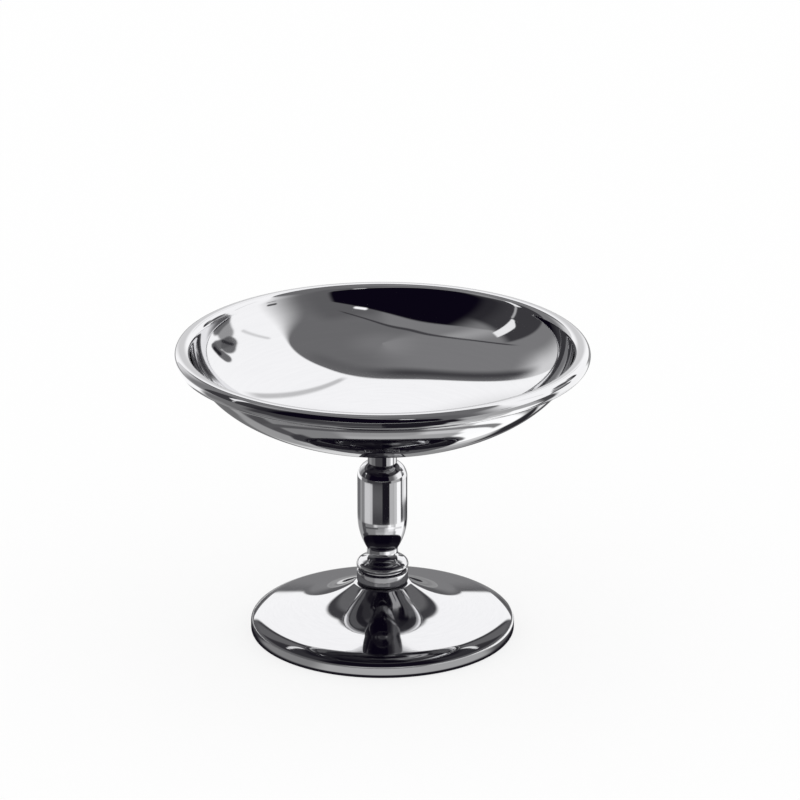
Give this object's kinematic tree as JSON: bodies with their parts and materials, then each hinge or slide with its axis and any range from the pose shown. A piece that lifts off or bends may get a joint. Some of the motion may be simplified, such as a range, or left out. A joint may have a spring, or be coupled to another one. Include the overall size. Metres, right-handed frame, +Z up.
{
  "type": "footed dessert cup",
  "caption": "Shallow round metal bowl with a rolled rim, raised on a turned baluster stem with a knop and a broad dished foot, for ice cream or dessert.",
  "frame": {"origin": "on the table, under the axis of the cup", "axes": "+Z up along the cup's axis of revolution; X and Y are free, and the picture is taken from the -Y side"},
  "size_m": [0.11, 0.11, 0.0805],
  "materials": {
    "polished_sheet": "stainless sheet, mirror polished",
    "polished_turned": "stainless bar, turned and mirror polished",
    "plain_steel": "stainless, as machined"
  },
  "bodies": {
    "root": {"bowl": "polished_sheet", "boss": "polished_turned", "stem": "polished_turned", "knop": "polished_turned", "collar": "polished_turned", "foot": "polished_sheet", "tie_rod": "plain_steel", "washer": "plain_steel", "nut": "plain_steel"}
  },
  "joints": []
}
